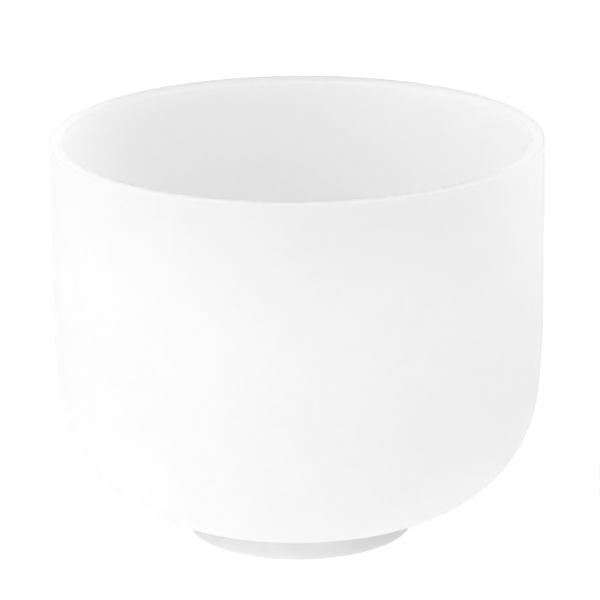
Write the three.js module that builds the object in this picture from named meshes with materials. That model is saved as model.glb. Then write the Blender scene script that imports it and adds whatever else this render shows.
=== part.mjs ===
// Crystal singing bowl: a frosted quartz bowl that rests loose on a silicone support ring.
// Millimetres, +Z up. The origin is the centre of the ring's underside, on the bowl's own axis.

import * as THREE from 'three';

// Bowl: one shell of even thickness, a shallow crown that turns through a knuckle into the side.
const OUTER_DIAMETER = 203;
const WALL = 6.3;
const BOWL_HEIGHT = 164;                             // from the crown's lowest point to the rim
const RIM_OUTER_ROUND = 1;
const RIM_INNER_ROUND = 2;
const RIM_SLOPE = THREE.MathUtils.degToRad(6);       // the rim's top falls this much towards the inside
const CROWN_RADIUS = 212;                            // dome of the bottom
const KNUCKLE_RADIUS = 55.5;                         // turn from the bottom into the side
const FLANK_RADIUS = 380;                            // slow curve from the knuckle to the straight wall
const FLANK_ANGLE = THREE.MathUtils.degToRad(5.5);   // how far that slow curve turns

// Support ring: a flat moulded ring with a vertical outside and a top dished to the bowl's crown.
const RING_OUTER_DIAMETER = 93.2;
const RING_WIDTH = 10;
const RING_EDGE_ROUND = 0.6;
const FLOOR_CLEARANCE = 4;                           // under the crown's lowest point
const SEAT_GAP = 0.3;                                // between the crown and the ring's dished top

const SEGMENTS = 80;                                 // round the axis
const CROWN_STEPS = 4;
const KNUCKLE_STEPS = 9;
const FLANK_STEPS = 2;
const ROUND_STEPS = 3;
const SEAT_STEPS = 4;

const RIGHT_ANGLE = Math.PI / 2;
const RIM_HEIGHT = FLOOR_CLEARANCE + BOWL_HEIGHT;
const OUTER_RADIUS = OUTER_DIAMETER / 2;

// Profile points are Vector2(radius, height). Angles are measured from +radius towards +height.
function arc(centre, radius, from, to, steps) {
  return Array.from({ length: steps + 1 }, (_, step) => {
    const angle = THREE.MathUtils.lerp(from, to, step / steps);
    return new THREE.Vector2(centre.x + radius * Math.cos(angle), centre.y + radius * Math.sin(angle));
  });
}

// Centres of the three arcs. Each arc is tangent to the next, and the flank to the straight wall.
function arcCentres() {
  const flankX = OUTER_RADIUS - FLANK_RADIUS;
  const knuckleX = flankX + (FLANK_RADIUS - KNUCKLE_RADIUS) * Math.cos(FLANK_ANGLE);
  const crownTurn = Math.asin(knuckleX / (CROWN_RADIUS - KNUCKLE_RADIUS));
  const crownY = FLOOR_CLEARANCE + CROWN_RADIUS;
  const knuckleY = crownY - (CROWN_RADIUS - KNUCKLE_RADIUS) * Math.cos(crownTurn);
  const flankY = knuckleY + (FLANK_RADIUS - KNUCKLE_RADIUS) * Math.sin(FLANK_ANGLE);
  return {
    crownTurn,
    crown: new THREE.Vector2(0, crownY),
    knuckle: new THREE.Vector2(knuckleX, knuckleY),
    flank: new THREE.Vector2(flankX, flankY),
  };
}

// One skin of the bowl from the axis up to the top of its flank, set in from the outside by inset.
function skinProfile(inset) {
  const { crownTurn, crown, knuckle, flank } = arcCentres();
  const crownEnd = crownTurn - RIGHT_ANGLE;
  const points = [
    ...arc(crown, CROWN_RADIUS - inset, -RIGHT_ANGLE, crownEnd, CROWN_STEPS),
    ...arc(knuckle, KNUCKLE_RADIUS - inset, crownEnd, -FLANK_ANGLE, KNUCKLE_STEPS).slice(1),
    ...arc(flank, FLANK_RADIUS - inset, -FLANK_ANGLE, 0, FLANK_STEPS).slice(1),
  ];
  points[0].x = 0;
  return points;
}

function lathe(profile) {
  const geometry = new THREE.LatheGeometry(profile, SEGMENTS);
  geometry.rotateX(RIGHT_ANGLE);
  return geometry;
}

function bowlGeometry() {
  const fall = (WALL - RIM_OUTER_ROUND - RIM_INNER_ROUND) * Math.tan(RIM_SLOPE);
  const outerRound = new THREE.Vector2(OUTER_RADIUS - RIM_OUTER_ROUND, RIM_HEIGHT - RIM_OUTER_ROUND);
  const innerRound = new THREE.Vector2(
    OUTER_RADIUS - WALL + RIM_INNER_ROUND,
    RIM_HEIGHT - fall - RIM_INNER_ROUND,
  );
  return lathe([
    ...skinProfile(0),
    ...arc(outerRound, RIM_OUTER_ROUND, 0, RIGHT_ANGLE, ROUND_STEPS),
    ...arc(innerRound, RIM_INNER_ROUND, RIGHT_ANGLE, Math.PI, ROUND_STEPS),
    ...skinProfile(WALL).reverse(),
  ]);
}

// Height of the ring's dished top, which runs parallel to the bowl's crown.
function seatHeight(radius) {
  const seatRadius = CROWN_RADIUS + SEAT_GAP;
  return FLOOR_CLEARANCE + CROWN_RADIUS - Math.sqrt(seatRadius ** 2 - radius ** 2);
}

function ringGeometry() {
  const outer = RING_OUTER_DIAMETER / 2;
  const inner = outer - RING_WIDTH;
  const round = RING_EDGE_ROUND;
  const seatFrom = outer - round;
  const seatTo = inner + round;
  const seat = Array.from({ length: SEAT_STEPS + 1 }, (_, step) => {
    const radius = THREE.MathUtils.lerp(seatFrom, seatTo, step / SEAT_STEPS);
    return new THREE.Vector2(radius, seatHeight(radius));
  });
  const corner = (x, y, from) => arc(new THREE.Vector2(x, y), round, from, from + RIGHT_ANGLE, ROUND_STEPS);
  const profile = [
    ...corner(seatFrom, round, -RIGHT_ANGLE),
    ...corner(seatFrom, seatHeight(seatFrom) - round, 0).slice(0, -1),
    ...seat,
    ...corner(seatTo, seatHeight(seatTo) - round, RIGHT_ANGLE).slice(1),
    ...corner(seatTo, round, Math.PI),
  ];
  profile.push(profile[0].clone());
  return lathe(profile);
}

function quartzBowl() {
  const frostedQuartz = new THREE.MeshStandardMaterial({ color: 0xf4f4f2, roughness: 0.6, metalness: 0 });
  const bowl = new THREE.Mesh(bowlGeometry(), frostedQuartz);
  bowl.name = 'quartz_bowl';
  return bowl;
}

function supportRing() {
  const silicone = new THREE.MeshStandardMaterial({ color: 0xe4e4e4, roughness: 0.7, metalness: 0 });
  const ring = new THREE.Mesh(ringGeometry(), silicone);
  ring.name = 'support_ring';
  return ring;
}

const singingBowl = new THREE.Group();
singingBowl.add(supportRing(), quartzBowl());

export default singingBowl;
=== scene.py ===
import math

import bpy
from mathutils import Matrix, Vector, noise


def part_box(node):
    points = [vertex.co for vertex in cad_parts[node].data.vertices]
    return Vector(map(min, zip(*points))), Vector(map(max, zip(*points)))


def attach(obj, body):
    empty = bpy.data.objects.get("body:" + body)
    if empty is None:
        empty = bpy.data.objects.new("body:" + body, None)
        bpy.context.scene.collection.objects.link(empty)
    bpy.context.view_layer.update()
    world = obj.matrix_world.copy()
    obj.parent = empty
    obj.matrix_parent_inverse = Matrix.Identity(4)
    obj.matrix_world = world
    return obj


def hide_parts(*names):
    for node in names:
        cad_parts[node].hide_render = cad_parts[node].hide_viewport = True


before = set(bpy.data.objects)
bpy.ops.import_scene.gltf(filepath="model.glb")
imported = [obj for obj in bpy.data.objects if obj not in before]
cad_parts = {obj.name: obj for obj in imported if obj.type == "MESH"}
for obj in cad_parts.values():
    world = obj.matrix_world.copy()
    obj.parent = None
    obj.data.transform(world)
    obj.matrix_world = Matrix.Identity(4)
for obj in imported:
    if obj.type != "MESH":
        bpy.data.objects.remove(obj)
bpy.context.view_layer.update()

# Looks of a crystal singing bowl: a frosted quartz shell, resting loose on a silicone ring.
# Metres, +Z up. Sizes that can be read from the frame are read from it; the rest repeat the part's own.

bowl_low, bowl_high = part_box("quartz_bowl")
_, ring_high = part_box("support_ring")

MM = 0.001
QUARTER = math.pi / 2

# Bowl shell: crown, knuckle and flank arcs, then a straight wall up to a rounded rim.
OUTER_RADIUS = bowl_high.x
RIM_HEIGHT = bowl_high.z
CROWN_HEIGHT = bowl_low.z
WALL = 6.3 * MM
RIM_OUTER_ROUND = 1 * MM
RIM_INNER_ROUND = 2 * MM
RIM_SLOPE = math.radians(6)
RIM_FALL = (WALL - RIM_OUTER_ROUND - RIM_INNER_ROUND) * math.tan(RIM_SLOPE)
CROWN_RADIUS = 212 * MM
KNUCKLE_RADIUS = 55.5 * MM
FLANK_RADIUS = 380 * MM
FLANK_ANGLE = math.radians(5.5)
CROWN_STEPS = 28
KNUCKLE_STEPS = 36
FLANK_STEPS = 16
WALL_STEPS = 30
RIM_STEPS = 8
BOWL_SEGMENTS = 288
RIPPLE_DEPTH = 0.12 * MM
RIPPLE_WAVELENGTH = 30 * MM

# Support ring: vertical outside, and a top dished to the crown.
RING_RADIUS = ring_high.x
RING_WIDTH = 10 * MM
RING_EDGE_ROUND = 0.6 * MM
SEAT_GAP = 0.3 * MM
CORNER_STEPS = 6
SEAT_STEPS = 10
RING_SEGMENTS = 192

# Materials. Noise scales are cells to the metre, and scatter is how far light goes before it turns.
NOISE_RANGE = (0.3, 0.7)       # where nearly all of a noise texture's values lie
GRAIN_HEIGHT = 0.05 * MM
QUARTZ_IOR = 1.46
QUARTZ_SCATTER = 120 * MM      # far more than the wall, so that light crosses it
QUARTZ_CLOUD = 28
QUARTZ_MOTTLE = 330
QUARTZ_MOTTLE_DEPTH = 0.005
QUARTZ_GRAIN = 2600
FROSTED_TONE = (0.925, 0.945)
FROSTED_ROUGHNESS = (0.5, 0.62)
# The rim's tone is a little lighter than the skins': a painted highlight. Its lower roughness and finer bump
# are the ground finish.
RIM_PAINTED_HIGHLIGHT_TONE = (0.94, 0.955)
GROUND_ROUGHNESS = (0.45, 0.55)
SILICONE_IOR = 1.41
SILICONE_SCATTER = 3 * MM
SILICONE_CLOUD = 120
SILICONE_GRAIN = 1800
SILICONE_TONE = (0.665, 0.685)
SILICONE_ROUGHNESS = (0.5, 0.65)

# Camera, on the -Y side of the object.
CAMERA_ELEVATION = math.radians(17.2)
CAMERA_DISTANCE = 17.06 * OUTER_RADIUS
CAMERA_TARGET = Vector((0.65 * MM, 0, 0.9607 * OUTER_RADIUS))
CAMERA_ROLL = math.radians(0.47)
CAMERA_LENS = 250.5
CAMERA_SENSOR = 36
CAMERA_REACH = 50

# Studio: a white floor, a dim world and softboxes (name, azimuth, elevation, size, watts).
FLOOR_HALF = 12
FLOOR_DROP = 0.05 * MM         # keeps the floor off the ring's underside
FLOOR_TONE = 0.2
FLOOR_GLOW = 0.84
FLOOR_FADE = (0.5, 1.5)        # distances over which the floor turns as white to the camera as the world
WORLD_FILL = 0.06
SOFTBOX_DISTANCE = 1.9
SOFTBOXES = (
    ("key_front_left", 315, 35, 0.9, 15.5),
    ("low_front_left", 315, 10, 0.6, 4.5),
    ("front", 0, 35, 0.9, 4.0),
    ("low_front", 0, 10, 0.6, 10.5),
    ("front_right", 45, 35, 0.9, 6.0),
    ("high_right", 90, 65, 0.9, 10.5),
    ("right", 90, 35, 0.9, 3.0),
    ("high_left", 270, 65, 0.9, 8.0),
    ("left", 270, 35, 0.9, 3.5),
    ("back", 180, 35, 0.9, 4.5),
)


# ---------------------------------------------------------------- profiles: lists of (radius, height)

def arc(centre, radius, start, end, steps):
    points = []
    for step in range(steps + 1):
        angle = start + (end - start) * step / steps
        points.append((centre[0] + radius * math.cos(angle), centre[1] + radius * math.sin(angle)))
    return points


def line(start, end, steps):
    return [
        (start[0] + (end[0] - start[0]) * step / steps, start[1] + (end[1] - start[1]) * step / steps)
        for step in range(steps + 1)
    ]


def skin_profile(inset, top):
    """One skin of the shell from the axis to the foot of its rim round, set in from the outside by inset."""
    flank_x = OUTER_RADIUS - FLANK_RADIUS
    knuckle_x = flank_x + (FLANK_RADIUS - KNUCKLE_RADIUS) * math.cos(FLANK_ANGLE)
    crown_turn = math.asin(knuckle_x / (CROWN_RADIUS - KNUCKLE_RADIUS))
    crown_y = CROWN_HEIGHT + CROWN_RADIUS
    knuckle_y = crown_y - (CROWN_RADIUS - KNUCKLE_RADIUS) * math.cos(crown_turn)
    flank_y = knuckle_y + (FLANK_RADIUS - KNUCKLE_RADIUS) * math.sin(FLANK_ANGLE)
    crown_end = crown_turn - QUARTER
    wall_x = OUTER_RADIUS - inset
    return (
        arc((0, crown_y), CROWN_RADIUS - inset, -QUARTER, crown_end, CROWN_STEPS)
        + arc((knuckle_x, knuckle_y), KNUCKLE_RADIUS - inset, crown_end, -FLANK_ANGLE, KNUCKLE_STEPS)[1:]
        + arc((flank_x, flank_y), FLANK_RADIUS - inset, -FLANK_ANGLE, 0, FLANK_STEPS)[1:]
        + line((wall_x, flank_y), (wall_x, top), WALL_STEPS)[1:]
    )


def bowl_profile():
    """Section of the shell, from the outside of the crown over the rim to the inside of the crown."""
    outer_foot = RIM_HEIGHT - RIM_OUTER_ROUND
    inner_foot = RIM_HEIGHT - RIM_FALL - RIM_INNER_ROUND
    outer_centre = (OUTER_RADIUS - RIM_OUTER_ROUND, outer_foot)
    inner_centre = (OUTER_RADIUS - WALL + RIM_INNER_ROUND, inner_foot)
    return (
        skin_profile(0, outer_foot)
        + arc(outer_centre, RIM_OUTER_ROUND, 0, QUARTER, RIM_STEPS)[1:]
        + arc(inner_centre, RIM_INNER_ROUND, QUARTER, math.pi, RIM_STEPS)
        + skin_profile(WALL, inner_foot)[-2::-1]
    )


def seat_height(radius):
    """Height of the ring's dished top, which runs parallel to the crown."""
    return CROWN_HEIGHT + CROWN_RADIUS - math.sqrt((CROWN_RADIUS + SEAT_GAP) ** 2 - radius ** 2)


def ring_profile():
    outer = RING_RADIUS - RING_EDGE_ROUND
    inner = RING_RADIUS - RING_WIDTH + RING_EDGE_ROUND

    def corner(x, y, start):
        return arc((x, y), RING_EDGE_ROUND, start, start + QUARTER, CORNER_STEPS)

    def top(x):
        return seat_height(x) - RING_EDGE_ROUND

    seat = [(x, seat_height(x)) for x, _ in line((outer, 0), (inner, 0), SEAT_STEPS)]
    return (
        corner(outer, RING_EDGE_ROUND, -QUARTER)
        + corner(outer, top(outer), 0)[:-1]
        + seat
        + corner(inner, top(inner), QUARTER)[1:]
        + corner(inner, RING_EDGE_ROUND, math.pi)
    )


# ---------------------------------------------------------------- meshes

def new_object(name, data):
    item = bpy.data.objects.new(name, data)
    bpy.context.scene.collection.objects.link(item)
    return item


def revolve(name, profile, segments, closed):
    """A surface of revolution about Z. A profile that isn't closed starts and ends on the axis."""
    rings = profile if closed else profile[1:-1]
    turns = [2 * math.pi * segment / segments for segment in range(segments)]
    verts = [(r * math.cos(turn), r * math.sin(turn), z) for r, z in rings for turn in turns]
    count = len(rings)
    faces = []
    for i in range(count if closed else count - 1):
        low, high = i * segments, (i + 1) % count * segments
        for s in range(segments):
            t = (s + 1) % segments
            faces.append((low + s, low + t, high + t, high + s))
    if not closed:
        first, last = len(verts), len(verts) + 1
        verts += [(0, 0, profile[0][1]), (0, 0, profile[-1][1])]
        top = (count - 1) * segments
        for s in range(segments):
            t = (s + 1) % segments
            faces.append((first, t, s))
            faces.append((last, top + s, top + t))
    mesh = bpy.data.meshes.new(name)
    mesh.from_pydata(verts, [], faces)
    mesh.polygons.foreach_set("use_smooth", [True] * len(faces))
    mesh.update()
    return new_object(name, mesh)


def ripple(piece, depth, wavelength):
    """Slow waves that hand finishing leaves in the skin, along its normals."""
    mesh = piece.data
    shifts = [vertex.normal * (noise.noise(vertex.co / wavelength) * depth) for vertex in mesh.vertices]
    for vertex, shift in zip(mesh.vertices, shifts):
        vertex.co += shift
    mesh.update()


# ---------------------------------------------------------------- materials

def new_material(name):
    material = bpy.data.materials.new(name)
    material.use_nodes = True
    nodes = material.node_tree.nodes
    return material, nodes, material.node_tree.links, nodes["Principled BSDF"]


def noise_node(nodes, links, coordinates, scale, detail):
    node = nodes.new("ShaderNodeTexNoise")
    node.inputs["Scale"].default_value = scale
    node.inputs["Detail"].default_value = detail
    links.new(coordinates, node.inputs["Vector"])
    return node.outputs["Fac"]


def ranged(nodes, links, value, source, target):
    """The value, carried from its source range (low, high) to the target range and held inside it."""
    node = nodes.new("ShaderNodeMapRange")
    node.inputs["From Min"].default_value, node.inputs["From Max"].default_value = source
    node.inputs["To Min"].default_value, node.inputs["To Max"].default_value = target
    links.new(value, node.inputs["Value"])
    return node.outputs["Result"]


def combined(nodes, links, operation, a, b):
    node = nodes.new("ShaderNodeMath")
    node.operation = operation
    links.new(a, node.inputs[0])
    links.new(b, node.inputs[1])
    return node.outputs["Value"]


def grey(nodes, links, value):
    node = nodes.new("ShaderNodeCombineColor")
    for channel in ("Red", "Green", "Blue"):
        links.new(value, node.inputs[channel])
    return node.outputs["Color"]


def set_scatter(shader, ior, scatter):
    shader.inputs["IOR"].default_value = ior
    shader.inputs["Subsurface Weight"].default_value = 1
    shader.inputs["Subsurface Radius"].default_value = (1, 1, 1)
    shader.inputs["Subsurface Scale"].default_value = scatter


def add_bump(nodes, links, shader, height, strength):
    bump = nodes.new("ShaderNodeBump")
    bump.inputs["Distance"].default_value = GRAIN_HEIGHT
    bump.inputs["Strength"].default_value = strength
    links.new(height, bump.inputs["Height"])
    links.new(bump.outputs["Normal"], shader.inputs["Normal"])


def quartz(name, tone_range, roughness_range, bump_strength):
    """Quartz that light passes through, so that each skin glows with what falls on the other."""
    material, nodes, links, shader = new_material(name)
    where = nodes.new("ShaderNodeTexCoord").outputs["Object"]
    cloud = noise_node(nodes, links, where, QUARTZ_CLOUD, detail=3)
    mottle = noise_node(nodes, links, where, QUARTZ_MOTTLE, detail=2)
    grain = noise_node(nodes, links, where, QUARTZ_GRAIN, detail=2)
    clouds = ranged(nodes, links, cloud, NOISE_RANGE, tone_range)
    spots = ranged(nodes, links, mottle, NOISE_RANGE, (-QUARTZ_MOTTLE_DEPTH, QUARTZ_MOTTLE_DEPTH))
    tone = combined(nodes, links, "ADD", clouds, spots)
    links.new(grey(nodes, links, tone), shader.inputs["Base Color"])
    links.new(ranged(nodes, links, grain, NOISE_RANGE, roughness_range), shader.inputs["Roughness"])
    set_scatter(shader, QUARTZ_IOR, QUARTZ_SCATTER)
    add_bump(nodes, links, shader, grain, bump_strength)
    return material


def frosted_quartz():
    return quartz("shell_quartz", FROSTED_TONE, FROSTED_ROUGHNESS, bump_strength=0.5)


def ground_quartz_painted_highlight():
    """The rim, which is ground smoother than the sandblasted skins, with a tone set lighter than theirs as a
    painted highlight.
    """
    return quartz("shell_rim_painted_highlight", RIM_PAINTED_HIGHLIGHT_TONE, GROUND_ROUGHNESS, bump_strength=0.3)


def silicone():
    material, nodes, links, shader = new_material("ring_silicone")
    where = nodes.new("ShaderNodeTexCoord").outputs["Object"]
    cloud = noise_node(nodes, links, where, SILICONE_CLOUD, detail=3)
    grain = noise_node(nodes, links, where, SILICONE_GRAIN, detail=3)
    tone = ranged(nodes, links, cloud, NOISE_RANGE, SILICONE_TONE)
    links.new(grey(nodes, links, tone), shader.inputs["Base Color"])
    links.new(ranged(nodes, links, grain, NOISE_RANGE, SILICONE_ROUGHNESS), shader.inputs["Roughness"])
    set_scatter(shader, SILICONE_IOR, SILICONE_SCATTER)
    add_bump(nodes, links, shader, grain, strength=0.4)
    return material


# ---------------------------------------------------------------- pieces

def on_rim(point):
    """Whether a point of the shell is on its rounded rim. The inner round starts lower than the outer."""
    outer = point.xy.length > OUTER_RADIUS - WALL / 2
    return point.z > RIM_HEIGHT - (RIM_OUTER_ROUND if outer else RIM_FALL + RIM_INNER_ROUND)


def make_bowl():
    piece = revolve("quartz_shell", bowl_profile(), BOWL_SEGMENTS, closed=False)
    ripple(piece, RIPPLE_DEPTH, RIPPLE_WAVELENGTH)
    piece.data.materials.append(frosted_quartz())
    piece.data.materials.append(ground_quartz_painted_highlight())
    # Faces on the rim take the rim material, whose lighter tone is a painted highlight.
    for face in piece.data.polygons:
        face.material_index = int(on_rim(face.center))
    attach(piece, "bowl")
    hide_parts("quartz_bowl")


def make_ring():
    piece = revolve("silicone_ring", ring_profile(), RING_SEGMENTS, closed=True)
    piece.data.materials.append(silicone())
    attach(piece, "ring")
    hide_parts("support_ring")


# ---------------------------------------------------------------- stage, lights and camera

def floor_white():
    """White that glows, so that shadows on it stay faint. Far off, it is fully white to the camera."""
    material, nodes, links, shader = new_material("floor_white")
    shader.inputs["Base Color"].default_value = (FLOOR_TONE, FLOOR_TONE, FLOOR_TONE, 1)
    shader.inputs["Roughness"].default_value = 1
    shader.inputs["Specular IOR Level"].default_value = 0
    shader.inputs["Emission Color"].default_value = (1, 1, 1, 1)
    distance = nodes.new("ShaderNodeVectorMath")
    distance.operation = "LENGTH"
    links.new(nodes.new("ShaderNodeTexCoord").outputs["Object"], distance.inputs[0])
    far = ranged(nodes, links, distance.outputs["Value"], FLOOR_FADE, (0, 1))
    seen = nodes.new("ShaderNodeLightPath").outputs["Is Camera Ray"]
    faded = combined(nodes, links, "MULTIPLY", far, seen)
    links.new(ranged(nodes, links, faded, (0, 1), (FLOOR_GLOW, 1)), shader.inputs["Emission Strength"])
    return material


def make_floor():
    mesh = bpy.data.meshes.new("floor")
    corners = [(x * FLOOR_HALF, y * FLOOR_HALF, 0) for x, y in ((-1, -1), (1, -1), (1, 1), (-1, 1))]
    mesh.from_pydata(corners, [], [(0, 1, 2, 3)])
    mesh.materials.append(floor_white())
    floor = new_object("floor", mesh)
    floor.location.z = -FLOOR_DROP


def make_world():
    """White to the camera, and a dim even fill to everything else."""
    world = bpy.data.worlds.new("studio")
    world.use_nodes = True
    nodes, links = world.node_tree.nodes, world.node_tree.links
    background = nodes["Background"]
    background.inputs["Color"].default_value = (1, 1, 1, 1)
    seen = nodes.new("ShaderNodeLightPath").outputs["Is Camera Ray"]
    links.new(ranged(nodes, links, seen, (0, 1), (WORLD_FILL, 1)), background.inputs["Strength"])
    bpy.context.scene.world = world


def make_softbox(name, azimuth, elevation, size, power):
    """A square softbox aimed at the bowl. Azimuth 0 is the camera's side, and 90 is the object's +X side."""
    light = bpy.data.lights.new(name, "AREA")
    light.shape = "SQUARE"
    light.size = size
    light.energy = power
    softbox = new_object(name, light)
    turn, rise = math.radians(azimuth), math.radians(elevation)
    flat = math.cos(rise) * SOFTBOX_DISTANCE
    aim_at = Vector((0, 0, RIM_HEIGHT / 2))
    softbox.location = (flat * math.sin(turn), -flat * math.cos(turn), math.sin(rise) * SOFTBOX_DISTANCE)
    softbox.rotation_euler = (aim_at - softbox.location).to_track_quat("-Z", "Y").to_euler()
    softbox.visible_camera = False


def make_camera():
    camera = new_object("camera", bpy.data.cameras.new("camera"))
    camera.data.lens = CAMERA_LENS
    camera.data.sensor_width = CAMERA_SENSOR
    camera.data.clip_end = CAMERA_REACH
    flat = math.cos(CAMERA_ELEVATION) * CAMERA_DISTANCE
    rise = math.sin(CAMERA_ELEVATION) * CAMERA_DISTANCE
    camera.location = CAMERA_TARGET + Vector((0, -flat, rise))
    camera.rotation_euler = (CAMERA_TARGET - camera.location).to_track_quat("-Z", "Y").to_euler()
    camera.rotation_euler.rotate_axis("Z", -CAMERA_ROLL)
    bpy.context.scene.camera = camera


make_camera()
make_bowl()
make_ring()
make_floor()
make_world()
for spec in SOFTBOXES:
    make_softbox(*spec)

bpy.context.scene.view_settings.view_transform = "Standard"
bpy.context.scene.view_settings.look = "None"
